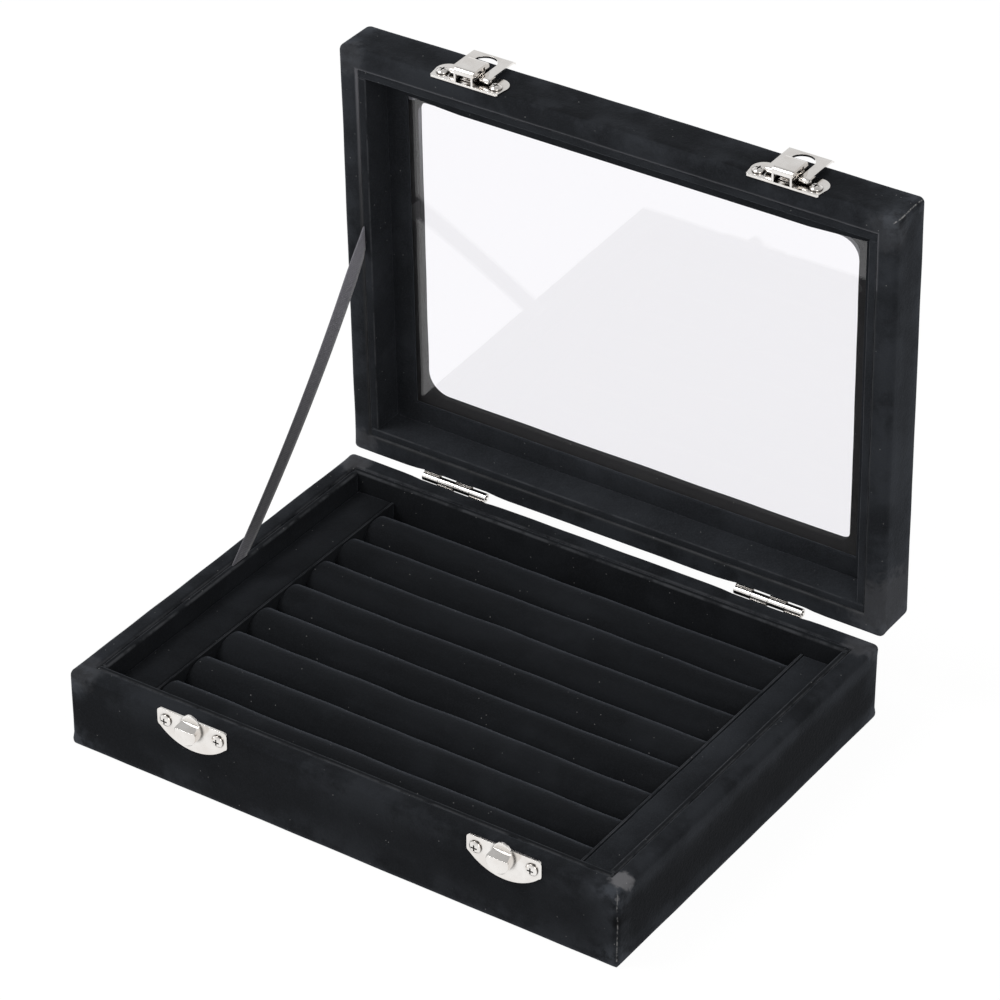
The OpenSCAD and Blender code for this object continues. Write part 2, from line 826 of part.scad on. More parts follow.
// The room behind a liner card that the ribbon's end lies in
module ribbon_slot(y, z0, z1) {
    depth = box_w / 2 + ribbon_x + ribbon_t / 2 + ribbon_fit;
    translate([-box_w / 2, y - ribbon_slot_w / 2, z0]) cube([depth, ribbon_slot_w, z1 - z0]);
}

// A point on the shut lid's rim plane, swung to the open lid: [y, z]
function swung(y, z) = let (a = -lid_open_angle, dy = y - hinge_y, dz = z - hinge_z)
    [hinge_y + dy * cos(a) - dz * sin(a), hinge_z + dy * sin(a) + dz * cos(a)];

module ribbon_stay() {
    foot = [ribbon_base_y, base_h];
    head = swung(ribbon_lid_y, lid_rim);
    run = (head - foot) / norm(head - foot);
    across = [run[1], -run[0]] * ribbon_w / 2;
    foot_tail = [ribbon_base_y, base_h - ribbon_tuck];
    head_tail = swung(ribbon_lid_y, lid_rim + ribbon_tuck);
    rim_up = swung(ribbon_lid_y - ribbon_w / 2, lid_rim) - head;
    color([0.42, 0.41, 0.44]) translate([ribbon_x, 0, 0]) along_x(ribbon_t) polygon([
        foot_tail + [ribbon_w / 2, 0], foot + [ribbon_w / 2, 0], foot + run * ribbon_w + across,
        head - run * ribbon_w + across, head - rim_up, head_tail - rim_up,
        head_tail + rim_up, head + rim_up, head - run * ribbon_w - across,
        foot + run * ribbon_w - across, foot - [ribbon_w / 2, 0],
        foot_tail - [ribbon_w / 2, 0]]);
}

base_board([0, -1]);  // base_front_board
base_board([0, 1]);  // base_back_board
base_board([-1, 0]);  // base_left_board
base_board([1, 0]);  // base_right_board
base_floor_board();
base_velvet();
base_felt();
base_liner([0, -1]);  // base_liner_front
base_liner([0, 1]);  // base_liner_back
base_liner([-1, 0]);  // base_liner_left
base_liner([1, 0]);  // base_liner_right
tray_card();
end_strip(-1);  // end_strip_left
end_strip(1);  // end_strip_right
divider(-1);  // divider_left
divider(1);  // divider_right
ring_roll(1);  // ring_roll_1
ring_roll(2);  // ring_roll_2
ring_roll(3);  // ring_roll_3
ring_roll(4);  // ring_roll_4
ring_roll(5);  // ring_roll_5
ring_roll(6);  // ring_roll_6
ring_roll(7);  // ring_roll_7
ring_roll(8);  // ring_roll_8
catch_plate(latch_xs[0]);  // catch_left
catch_plate(latch_xs[1]);  // catch_right
catch_screws();
base_leaf(hinge_xs[0]);  // hinge_base_leaf_left
base_leaf(hinge_xs[1]);  // hinge_base_leaf_right
hinge_base_screws();
hinge_pin(hinge_xs[0]);  // hinge_pin_left
hinge_pin(hinge_xs[1]);  // hinge_pin_right
lid_board([0, -1]);  // lid_front_board
lid_board([0, 1]);  // lid_back_board
lid_board([-1, 0]);  // lid_left_board
lid_board([1, 0]);  // lid_right_board
lid_panel();
lid_velvet();
glass_pane();
glass_retainer();
lid_liner([0, -1]);  // lid_liner_front
lid_liner([0, 1]);  // lid_liner_back
lid_liner([-1, 0]);  // lid_liner_left
lid_liner([1, 0]);  // lid_liner_right
latch_plate(latch_xs[0]);  // latch_plate_left
latch_plate(latch_xs[1]);  // latch_plate_right
latch_pin(latch_xs[0]);  // latch_pin_left
latch_pin(latch_xs[1]);  // latch_pin_right
latch_spring(latch_xs[0]);  // latch_spring_left
latch_spring(latch_xs[1]);  // latch_spring_right
latch_screws();
lid_leaf(hinge_xs[0]);  // hinge_lid_leaf_left
lid_leaf(hinge_xs[1]);  // hinge_lid_leaf_right
hinge_lid_screws();
latch_flap(latch_xs[0]);  // latch_flap_left
latch_flap(latch_xs[1]);  // latch_flap_right
ribbon_stay();
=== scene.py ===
"""A velvet-covered ring display box with a glazed lid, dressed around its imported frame.

Lengths are in metres. Pieces of the lid are made as if it were shut, and swung open last.
"""
import json
import math

import bmesh
import bpy
from mathutils import Matrix, Vector, noise


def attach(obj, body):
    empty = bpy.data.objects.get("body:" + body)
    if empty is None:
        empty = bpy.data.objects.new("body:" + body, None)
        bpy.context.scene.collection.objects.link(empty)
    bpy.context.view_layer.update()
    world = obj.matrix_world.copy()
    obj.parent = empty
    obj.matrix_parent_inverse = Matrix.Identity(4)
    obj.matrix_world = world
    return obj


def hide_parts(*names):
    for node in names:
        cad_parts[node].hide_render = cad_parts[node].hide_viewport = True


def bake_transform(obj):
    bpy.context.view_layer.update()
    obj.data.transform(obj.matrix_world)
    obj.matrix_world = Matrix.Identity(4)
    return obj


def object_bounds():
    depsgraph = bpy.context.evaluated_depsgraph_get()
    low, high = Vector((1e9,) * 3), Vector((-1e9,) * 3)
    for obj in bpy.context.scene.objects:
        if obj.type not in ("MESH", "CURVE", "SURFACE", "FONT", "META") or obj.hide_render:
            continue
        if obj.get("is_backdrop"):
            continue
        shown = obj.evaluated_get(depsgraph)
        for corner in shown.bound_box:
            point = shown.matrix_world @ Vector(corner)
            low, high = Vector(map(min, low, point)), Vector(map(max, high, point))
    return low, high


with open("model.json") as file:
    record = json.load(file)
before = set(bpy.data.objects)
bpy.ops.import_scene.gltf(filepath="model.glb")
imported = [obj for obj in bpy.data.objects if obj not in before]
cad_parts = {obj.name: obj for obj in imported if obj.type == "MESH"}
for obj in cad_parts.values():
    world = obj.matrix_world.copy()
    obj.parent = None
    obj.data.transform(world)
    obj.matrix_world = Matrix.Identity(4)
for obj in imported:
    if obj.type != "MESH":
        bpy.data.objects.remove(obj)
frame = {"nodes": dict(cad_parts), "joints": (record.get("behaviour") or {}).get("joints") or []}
frame_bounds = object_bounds()

MM = 0.001
SIDES = ("left", "right")
WALLS = ("front", "back", "left", "right")
# Slack in comparing places: within one shape, and against a place worked out another way.
TINY = 1e-6
CLOSE = 1e-5

# ---------------------------------------------------------------- places from the frame


def joint_named(name):
    return next(j for j in frame["joints"] if j["name"] == name)


def turn_about(point, angle):
    """A turn about the X direction through a point."""
    there = Matrix.Translation(point)
    return there @ Matrix.Rotation(angle, 4, "X") @ there.inverted()


lid_hinge = joint_named("lid_hinge")
hinge_point = Vector(lid_hinge["pos_m"])
open_angle = math.radians(lid_hinge["range_deg"][1])
AS_IS = Matrix.Identity(4)
SWING_OPEN = turn_about(hinge_point, -open_angle)
SWING_SHUT = turn_about(hinge_point, open_angle)


def node_span(name, placed=AS_IS):
    """Lowest and highest corner of a frame node after a placement."""
    points = [placed @ v.co for v in frame["nodes"][name].data.vertices]
    low = Vector([min(p[i] for p in points) for i in range(3)])
    high = Vector([max(p[i] for p in points) for i in range(3)])
    return low, high


def lid_span(name):
    """Lowest and highest corner of a lid node as it lies when the lid is shut."""
    return node_span(name, SWING_SHUT)


base_low, base_high = node_span("base_velvet")
floor_high = node_span("base_floor_board")[1]
liner_high = node_span("base_liner_front")[1]
lid_low, lid_high = lid_span("lid_velvet")
lid_liner_high = lid_span("lid_liner_front")[1]
glass_low, glass_high = lid_span("glass_pane")

# The panel laps the glass all round, and its margin runs from the lid's sides to the window.
WINDOW_LAP = 8 * MM
window_high = glass_high - Vector((WINDOW_LAP, WINDOW_LAP, 0))
window_margin = lid_high.x - window_high.x


# ---------------------------------------------------------------- shader building


class Wire:
    """One output in a material. Python arithmetic on it adds Math nodes."""

    def __init__(self, finish, socket):
        self.finish = finish
        self.socket = socket

    def __add__(self, other):
        return self.finish.maths("ADD", self, other)

    def __radd__(self, other):
        return self.finish.maths("ADD", other, self)

    def __sub__(self, other):
        return self.finish.maths("SUBTRACT", self, other)

    def __rsub__(self, other):
        return self.finish.maths("SUBTRACT", other, self)

    def __mul__(self, other):
        return self.finish.maths("MULTIPLY", self, other)

    def __rmul__(self, other):
        return self.finish.maths("MULTIPLY", other, self)

    def __truediv__(self, other):
        return self.finish.maths("DIVIDE", self, other)

    def __abs__(self):
        return self.finish.maths("ABSOLUTE", self)


class Finish:
    """A material made of one Principled shader and what feeds it."""

    def __init__(self, name, constants):
        self.material = bpy.data.materials.new(name)
        self.material.use_nodes = True
        self.tree = self.material.node_tree
        self.tree.nodes.clear()
        self.shader = self.add("ShaderNodeBsdfPrincipled", constants)
        self.output = self.add("ShaderNodeOutputMaterial")
        self.tree.links.new(self.shader.outputs[0], self.output.inputs["Surface"])

    def add(self, kind, inputs=None, **settings):
        """Any node: its settings first, then the values or wires of its sockets."""
        node = self.tree.nodes.new(kind)
        for name, value in settings.items():
            setattr(node, name, value)
        for key, value in (inputs or {}).items():
            self.feed(node.inputs[key], value)
        return node

    def feed(self, socket, value):
        if isinstance(value, Wire):
            self.tree.links.new(value.socket, socket)
        else:
            socket.default_value = value

    def wire(self, kind, inputs=None, output=0, **settings):
        return Wire(self, self.add(kind, inputs, **settings).outputs[output])

    def maths(self, operation, *values):
        return self.wire("ShaderNodeMath", dict(enumerate(values)), operation=operation)

    def least(self, a, b):
        return self.maths("MINIMUM", a, b)

    def most(self, a, b):
        return self.maths("MAXIMUM", a, b)

    def fade(self, value, start, end):
        """0 up to start, 1 from end on, and smooth between."""
        low, high, at_low, at_high = (start, end, 0.0, 1.0)
        if start > end:
            low, high, at_low, at_high = (end, start, 1.0, 0.0)
        return self.wire(
            "ShaderNodeMapRange",
            {"Value": value, "From Min": low, "From Max": high, "To Min": at_low, "To Max": at_high},
            interpolation_type="SMOOTHSTEP",
        )

    def mixed(self, amount, first, second):
        """A colour between two."""
        node = self.add("ShaderNodeMix", {0: amount, 6: first, 7: second}, data_type="RGBA")
        return Wire(self, node.outputs[2])

    def place(self, turned=None):
        """Object coordinates, turned back to the shut lid's directions where asked."""
        spot = self.wire("ShaderNodeTexCoord", output="Object")
        if turned is None:
            return spot
        return self.wire(
            "ShaderNodeMapping",
            {
                "Vector": spot,
                "Location": turned.to_translation(),
                "Rotation": turned.to_euler(),
            },
        )

    def stretched(self, spot, scale):
        return self.wire("ShaderNodeMapping", {"Vector": spot, "Scale": scale})

    def clouds(self, spot, scale, detail=3.0, roughness=0.55):
        return self.wire(
            "ShaderNodeTexNoise",
            {"Vector": spot, "Scale": scale, "Detail": detail, "Roughness": roughness},
        )

    def specks(self, spot, scale, radius, share):
        """Scattered dots of a radius in metres. share is the part of the cells left bare."""
        cells = self.add("ShaderNodeTexVoronoi", {"Vector": spot, "Scale": scale})
        pick = self.wire("ShaderNodeSeparateColor", {0: Wire(self, cells.outputs["Color"])})
        reach = (pick * 0.6 + 0.5) * (radius * scale)
        near = self.fade(Wire(self, cells.outputs["Distance"]) / reach, 1.0, 0.5)
        return near * self.fade(pick, share, share + 0.02)

    def paint(self, socket, value):
        self.feed(self.shader.inputs[socket], value)

    def bumps(self, height, distance, strength):
        bump = self.wire(
            "ShaderNodeBump", {"Height": height, "Distance": distance, "Strength": strength}
        )
        self.paint("Normal", bump)


def grey(level, tint=(1.0, 1.0, 1.0)):
    return tuple(level * t for t in tint) + (1.0,)


# ---------------------------------------------------------------- finishes

VELVET_TINT = (0.89, 0.98, 1.15)
LINT_TINT = (1.0, 0.99, 0.98)
THREAD_TINT = (0.95, 0.98, 1.06)
LINT = 0.55
DUST_R = 0.2 * MM
# Each size of dust: cells to the metre, the part of the cells left bare, and its strength.
DUST = ((420.0, 0.84, 0.6), (300.0, 0.66, 0.8), (190.0, 0.86, 1.0))


def edge_gaps(finish, spot, low, high):
    """How far inside each pair of a box's faces a place is."""
    axes = finish.add("ShaderNodeSeparateXYZ", {0: spot})
    gaps = []
    for axis in range(3):
        middle = (low[axis] + high[axis]) / 2
        half = (high[axis] - low[axis]) / 2
        gaps.append(half - abs(Wire(finish, axes.outputs[axis]) - middle))
    return gaps


def velvet(name, depth, sheen, turned=None, edges=None, brush=(1, 1, 1), marks=(),
           painted_face_shade=(0.0, 0.0), soft=0.5, threads=0.0, joined=0.75, glazed=None):
    """Short black pile: dark head on, paler at a glance, brushed, dusty and rubbed at edges.

    depth is the pile's own lightness, and brush stretches its nap. edges holds the corners of
    the box whose edges rub. The face-shade values paint shade that darkens the faces that look
    along X and along Y, and soft is the strength of the wide patches by the edges. marks are worn
    places, threads and joined are the strengths of the worn edges and of the joined corner, and
    glazed is the glass's level, where a painted reflection of the glass's edge goes on the cloth.
    """
    def pile(level):
        return grey(depth * level, VELVET_TINT)

    finish = Finish(
        name,
        {
            "Roughness": 0.95,
            "Specular IOR Level": 0.08,
            "Sheen Weight": sheen,
            "Sheen Roughness": 0.36,
            "Sheen Tint": grey(0.5, VELVET_TINT),
        },
    )
    spot = finish.place(turned)
    nap = finish.clouds(finish.stretched(spot, brush), 42.0, 4.0, 0.6)
    smudges = finish.fade(finish.clouds(spot, 30.0, 4.0, 0.6), 0.54, 0.7)
    fibres = finish.clouds(spot, 2400.0, 2.0, 0.7)
    tufts = finish.clouds(spot, 800.0, 3.0, 0.6)
    colour = finish.mixed(finish.fade(nap, 0.3, 0.72), pile(0.7), pile(1.3))
    colour = finish.mixed(smudges * 0.45, colour, pile(2.0))
    colour = finish.mixed(finish.fade(fibres, 0.4, 0.75) * 0.4, colour, pile(2.4))
    if edges is not None:
        gaps = edge_gaps(finish, spot, *edges)
        # Painted shade: darkens the box's faces that look along X and along Y.
        for gap, shade, start in zip(gaps, painted_face_shade, (4 * MM, 1 * MM)):
            flat = finish.fade(gap, 1.5 * MM, 0.5 * MM) * finish.fade(gaps[2], start, start * 2)
            colour = finish.mixed(flat * shade, colour, pile(0.2))
        colour = rubbed_edges(finish, spot, gaps, depth, soft, colour)
        colour = corner_thread(finish, spot, edges, joined, colour)
    # Painted reflection: the glass's pale edge, painted onto the cloth round the window.
    if glazed is not None:
        colour = painted_glass_reflection(finish, spot, gaps, glazed, colour)
    for place, radius, strength in marks:
        colour = worn_mark(finish, spot, place, radius, strength, colour)
    if threads:
        edge = finish.wire("ShaderNodeAttribute", output="Fac", attribute_name="edge")
        worn = edge * finish.fade(finish.clouds(spot, 130.0, 4.0, 0.65), 0.3, 0.62)
        colour = finish.mixed(worn * threads, colour, grey(0.11, THREAD_TINT))
    for scale, share, bright in DUST:
        dust = finish.specks(spot, scale, DUST_R, share)
        colour = finish.mixed(dust * LINT * bright, colour, grey(0.42, LINT_TINT))
    finish.paint("Base Color", colour)
    finish.bumps(fibres * 0.6 + tufts, 0.16 * MM, 0.7)
    return finish.material


def worn_mark(finish, spot, place, radius, strength, colour):
    """A ragged patch about a place where the pile is crushed or rubbed through."""
    gap = finish.wire("ShaderNodeVectorMath", {0: spot, 1: place}, "Value", operation="DISTANCE")
    ragged = gap / radius + (finish.clouds(spot, 420.0, 4.0, 0.6) - 0.5) * 1.1
    return finish.mixed(finish.fade(ragged, 1.0, 0.55) * strength, colour,
                        grey(0.13, (0.98, 0.97, 1.02)))


def painted_glass_reflection(finish, spot, gaps, level, colour):
    """The cloth under the glass's edge and round the cut, painted paler as a reflection in the
    glass's edge, most at the front.

    The painted reflection grows slowly towards the front on the left, and starts at once on the
    right.
    """
    axes = finish.add("ShaderNodeSeparateXYZ", {0: spot})
    side, front, rise = (Wire(finish, axes.outputs[axis]) for axis in range(3))
    inward = finish.least(gaps[0], gaps[1])
    under = finish.fade(rise, level + 0.6 * MM, level + 0.35 * MM)
    under = under * finish.fade(inward, 5 * MM, 7 * MM)
    cut = finish.fade(inward, window_margin - 0.9 * MM, window_margin - 0.7 * MM)
    low_in_cut = finish.fade(rise, lid_high.z - 0.9 * MM, lid_high.z - 1.1 * MM)
    under = finish.most(under, cut * low_in_cut)
    left = finish.fade(side, 1 * MM, -1 * MM)
    tone = left * finish.fade(front, -8 * MM, -68 * MM)
    tone = tone + (1 - left) * finish.fade(front, -49 * MM, -50 * MM) * 0.8
    plain = finish.mixed(finish.fade(front, 60 * MM, -20 * MM), grey(0.038), grey(0.058))
    # Painted reflection: pale grey where the glass's edge reflects, over a plain darker tone.
    haze = finish.mixed(tone, plain, grey(0.3, (1.0, 1.0, 1.08)))
    return finish.mixed(under, colour, haze)


def corner_thread(finish, spot, box, strength, colour):
    """The pale thread where the cloth is joined down the box's front right corner."""
    axes = finish.add("ShaderNodeSeparateXYZ", {0: spot})
    side, front = (Wire(finish, axes.outputs[axis]) for axis in (0, 1))
    short = box[1].x + PILE - side
    deep = front - (box[0].y - PILE)
    drift = (finish.clouds(spot, 110.0, 2.0, 0.5) - 0.5) * 1.6 * MM
    line = finish.fade(abs(short - deep + drift), 0.4 * MM, 0.15 * MM)
    line = line * finish.fade(short + deep, 4.0 * MM, 2.6 * MM)
    broken = finish.fade(finish.clouds(spot, 520.0, 3.0, 0.7), 0.4, 0.6)
    return finish.mixed(line * broken * strength, colour, grey(0.3, LINT_TINT))


def rubbed_edges(finish, spot, gaps, depth, soft, colour):
    """Paler pile along a box's edges: wide soft patches and worn corners."""
    first, second, third = gaps
    near_edge = finish.most(
        finish.least(first, second), finish.least(finish.most(first, second), third)
    )
    near_corner = finish.most(finish.most(first, second), third)
    streaks = finish.clouds(spot, 48.0, 5.0, 0.65)
    wide = finish.fade(near_edge, 13 * MM, 1 * MM) * finish.fade(streaks, 0.42, 0.6)
    colour = finish.mixed(wide * soft, colour, grey(depth * 3.8, VELVET_TINT))
    worn = finish.fade(near_corner, 12 * MM, 2 * MM) * finish.fade(near_edge, 8 * MM, 0.5 * MM)
    worn = worn * finish.fade(finish.clouds(spot, 170.0, 4.0, 0.65), 0.38, 0.62)
    return finish.mixed(worn * 0.7, colour, grey(0.06, VELVET_TINT))


def nickel():
    """Bright plating on pressed sheet: slightly warm, finely rubbed, with painted shade in its
    hollows.
    """
    finish = Finish("bright_nickel", {"Metallic": 1.0})
    spot = finish.place()
    haze = finish.clouds(spot, 150.0, 3.0, 0.6)
    rubs = finish.clouds(finish.stretched(spot, (3.0, 0.6, 0.6)), 1400.0, 2.0, 0.6)
    colour = finish.mixed(finish.fade(haze, 0.3, 0.7), grey(0.78, (1.0, 0.96, 0.92)),
                          grey(0.86, (1.0, 0.975, 0.945)))
    # Painted shade: ambient occlusion darkens the plating's colour in its hollows and against other
    # parts.
    painted_nook_shade = finish.wire("ShaderNodeAmbientOcclusion", {"Distance": 1.6 * MM}, "AO", samples=8)
    colour = finish.mixed(finish.fade(painted_nook_shade, 0.35, 0.95), grey(0.07, (1.0, 0.88, 0.78)), colour)
    finish.paint("Base Color", colour)
    finish.paint("Roughness", haze * 0.08 + rubs * 0.1 + 0.05)
    finish.bumps(haze + rubs * 0.05, 0.05 * MM, 0.4)
    return finish.material


def clear_glass():
    """Window glass that lets lamp light straight through."""
    finish = Finish(
        "window_glass",
        {
            "Base Color": grey(0.965, (0.977, 0.968, 1.0)),
            "Roughness": 0.0,
            "IOR": 1.5,
            "Specular IOR Level": 0.2,
            "Transmission Weight": 1.0,
        },
    )
    spot = finish.place()
    finish.bumps(finish.clouds(spot, 14.0, 1.0, 0.4), 0.05 * MM, 0.25)
    lights = finish.add("ShaderNodeLightPath")
    shadow = Wire(finish, lights.outputs["Is Shadow Ray"])
    diffuse = Wire(finish, lights.outputs["Is Diffuse Ray"])
    clear = finish.wire("ShaderNodeBsdfTransparent", {"Color": grey(0.93)})
    mixed = finish.add("ShaderNodeMixShader", {0: finish.most(shadow, diffuse)})
    finish.tree.links.new(finish.shader.outputs[0], mixed.inputs[1])
    finish.tree.links.new(clear.socket, mixed.inputs[2])
    finish.tree.links.new(mixed.outputs[0], finish.output.inputs["Surface"])
    return finish.material


def ribbon_cloth():
    """Grosgrain ribbon: fine ribs across, closer selvedges, and a slight shine."""
    finish = Finish(
        "grosgrain",
        {"Specular IOR Level": 0.35, "Sheen Weight": 0.35, "Sheen Roughness": 0.5},
    )
    along = finish.add("ShaderNodeUVMap", uv_map="cloth")
    axes = finish.add("ShaderNodeSeparateXYZ", {0: Wire(finish, along.outputs[0])})
    run = Wire(finish, axes.outputs[0])
    across = Wire(finish, axes.outputs[1])
    ribs = finish.maths("SINE", run * (2 * math.pi / (0.55 * MM)))
    threads = finish.maths("SINE", across * (2 * math.pi / (0.3 * MM)))
    weave = finish.clouds(finish.place(), 1100.0, 2.0, 0.7)
    grain = finish.fade(ribs * 0.3 + threads * 0.15 + weave, 0.2, 0.9)
    # Painted light: the ribbon is paler from 25 mm along towards the lid, and just above its seam in
    # the base.
    painted_run_light = finish.fade(run, 25 * MM, 125 * MM) * 0.5 + finish.fade(run, 14 * MM, 3 * MM) * 0.22
    tone = finish.least(painted_run_light * (grain * 0.5 + 0.75) + grain * 0.12, 1.0)
    colour = finish.mixed(tone, grey(0.045, (1.0, 0.98, 1.08)), grey(0.3, (1.0, 0.98, 1.12)))
    finish.paint("Base Color", colour)
    finish.paint("Roughness", 0.72 - tone * 0.2)
    finish.bumps(ribs + threads * 0.3, 0.08 * MM, 0.6)
    return finish.material


def raw_wood():
    """Pale board with its grain along X."""
    finish = Finish("pale_board", {"Roughness": 0.8})
    spot = finish.place()
    grain = finish.clouds(finish.stretched(spot, (6.0, 120.0, 120.0)), 6.0, 5.0, 0.6)
    finish.paint("Base Color", finish.mixed(grain, grey(0.5, (1.0, 0.78, 0.52)),
                                            grey(0.68, (1.0, 0.82, 0.6))))
    finish.bumps(grain, 0.1 * MM, 0.4)
    return finish.material


def grey_card():
    """Rough grey board."""
    finish = Finish("grey_card", {"Roughness": 0.9})
    pulp = finish.clouds(finish.place(), 700.0, 4.0, 0.7)
    finish.paint("Base Color", finish.mixed(pulp, grey(0.25), grey(0.38)))
    finish.bumps(pulp, 0.08 * MM, 0.5)
    return finish.material


def black_paper():
    """Matt black backing paper."""
    finish = Finish("black_paper", {"Roughness": 0.85})
    pulp = finish.clouds(finish.place(), 900.0, 4.0, 0.7)
    finish.paint("Base Color", finish.mixed(pulp, grey(0.012), grey(0.02)))
    finish.bumps(pulp, 0.05 * MM, 0.5)
    return finish.material


# ---------------------------------------------------------------- making meshes


def block(low, high):
    """A box between two corners."""
    bm = bmesh.new()
    bmesh.ops.create_cube(bm, size=1.0)
    bmesh.ops.scale(bm, vec=high - low, verts=bm.verts)
    bmesh.ops.translate(bm, vec=(low + high) / 2, verts=bm.verts)
    return bm


def round_edges(bm, edges, radius, segments):
    bmesh.ops.bevel(
        bm, geom=list(edges), offset=radius, offset_type="OFFSET", segments=segments,
        profile=0.5, affect="EDGES", material=-1, clamp_overlap=True,
    )


def edges_with(bm, test):
    """Edges whose two ends both pass a test on their place."""
    return [e for e in bm.edges if all(test(v.co) for v in e.verts)]


def edges_along(bm, axis, least):
    """Edges whose two ends lie further apart along an axis than a least length."""
    return [e for e in bm.edges if abs(e.verts[0].co[axis] - e.verts[1].co[axis]) > least]


def facing(bm, axis, sign, level):
    """The largest face that looks along an axis, at a level on that axis."""
    found = [f for f in bm.faces if f.normal[axis] * sign > 0.99
             and abs(f.calc_center_median()[axis] - level) < CLOSE]
    return max(found, key=lambda f: f.calc_area())


def inset(bm, face, distance):
    """Draws a frame inside a face. The face shrinks to what the frame leaves."""
    bmesh.ops.inset_region(bm, faces=[face], thickness=distance, use_even_offset=True)


def sink(bm, face, shift):
    """Pushes one face by a shift, with walls behind it. Returns the moved face."""
    made = bmesh.ops.extrude_discrete_faces(bm, faces=[face])
    moved = made["faces"][0]
    bmesh.ops.translate(bm, vec=shift, verts=moved.verts)
    return moved


def cut_through(bm, first, second):
    """Opens two faces that look away from each other, and walls the hole between them."""
    loops = list(first.edges) + list(second.edges)
    bmesh.ops.delete(bm, geom=[first, second], context="FACES_ONLY")
    bmesh.ops.bridge_loops(bm, edges=loops)


def cut_across(bm, axis, levels):
    """Cuts a mesh by planes across an axis."""
    across = Vector((0, 0, 0))
    across[axis] = 1.0
    for level in levels:
        geom = bm.verts[:] + bm.edges[:] + bm.faces[:]
        bmesh.ops.bisect_plane(bm, geom=geom, plane_co=across * level, plane_no=across, dist=TINY)


def slice_up(bm, step, axes=(0, 1, 2)):
    """Cuts a mesh by even planes, so that it can swell and sag."""
    for axis in axes:
        places = [v.co[axis] for v in bm.verts]
        low, high = min(places), max(places)
        count = max(1, round((high - low) / step))
        cut_across(bm, axis, [low + (high - low) * cut / count for cut in range(1, count)])


def ripple(bm, amount, size, seed):
    """Moves the skin in and out by a soft noise. size holds its length along each axis."""
    bm.normal_update()
    offset = Vector((seed * 3.1, seed * 1.7, seed * 2.3))
    moves = []
    for v in bm.verts:
        spot = Vector((v.co.x / size[0], v.co.y / size[1], v.co.z / size[2])) + offset
        moves.append(v.normal * amount * noise.noise(spot))
    for v, move in zip(bm.verts, moves):
        v.co += move


def tighten_back(bm, back, level):
    """Draws the rounding of the long back edge in, where the cloth is pulled over to the hinges."""
    corner = Vector((0, back, level))
    for v in bm.verts:
        short = [abs(v.co[axis] - corner[axis]) for axis in (1, 2)]
        if max(short) < EDGE_R + CLOSE:
            for axis in (1, 2):
                v.co[axis] = corner[axis] + (v.co[axis] - corner[axis]) * BACK_DRAWN_IN


def raise_pile(bm, low, high, wall, plates):
    """Moves a box's four sides out by the pile, less where fittings press it down."""
    pressed_in = 0.7
    eased_over = 5 * MM
    same_side = 12 * MM

    def pressed(c):
        return max(
            1 - min(1.0, max(lo.x - c.x, c.x - hi.x, lo.z - c.z, c.z - hi.z, 0.0) / eased_over)
            if abs(c.y - (lo.y + hi.y) / 2) < same_side else 0.0
            for lo, hi in plates
        )
    middle = (low + high) / 2
    for v in bm.verts:
        push = 1 - pressed_in * pressed(v.co)
        for axis in (0, 1):
            half = (high[axis] - low[axis]) / 2
            off = v.co[axis] - middle[axis]
            if abs(off) > half - wall * 0.4:
                v.co[axis] += math.copysign(push * PILE, off)


def mark_edges(bm, test=lambda c: True):
    """Marks the middle of rounded edges, where the pile wears, in the attribute "edge"."""
    least_lean = 0.38
    growth = 8
    bm.normal_update()
    edge = bm.verts.layers.float.new("edge")
    for v in bm.verts:
        lean = sorted(abs(part) for part in v.normal)[1]
        v[edge] = min(1.0, max(0.0, lean - least_lean) * growth) if test(v.co) else 0.0


def add_piece(bm, name, material, body, stands_for, placed=AS_IS):
    """Turns a mesh into a finished piece of the object."""
    bmesh.ops.remove_doubles(bm, verts=bm.verts, dist=1e-7)
    bmesh.ops.recalc_face_normals(bm, faces=bm.faces)
    bmesh.ops.transform(bm, matrix=placed, verts=bm.verts)
    for face in bm.faces:
        face.smooth = True
    mesh = bpy.data.meshes.new(name)
    bm.to_mesh(mesh)
    bm.free()
    piece = bpy.data.objects.new(name, mesh)
    bpy.context.scene.collection.objects.link(piece)
    mesh.materials.append(material)
    if body is not None:
        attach(piece, body)
    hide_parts(*stands_for)
    return piece


def even_normals(piece):
    """Keeps big flats flat beside their rounded edges."""
    weigh = piece.modifiers.new("even_normals", "WEIGHTED_NORMAL")
    weigh.keep_sharp = True
    weigh.weight = 100


def refinish(name, material):
    """Gives a frame node another material."""
    node = frame["nodes"][name]
    node.data.materials.clear()
    node.data.materials.append(material)


# ---------------------------------------------------------------- velvet covers

EDGE_R = 2.0 * MM
RIM_R = 0.9 * MM
LID_RIM_R = 0.5 * MM
PILE = 0.95 * MM
BACK_DRAWN_IN = 0.75
SKIN_WAVE = (16 * MM, 16 * MM, 16 * MM)
SKIN_DEPTH = 0.16 * MM
BASE_HANG = 0.25 * MM
SEAM = 0.1 * MM
PANEL_GAP = 0.05 * MM


def on_box(low, high):
    """A test for the eight corners of a box."""
    def test(c):
        return all(min(abs(c[i] - low[i]), abs(c[i] - high[i])) < TINY for i in range(3))
    return test


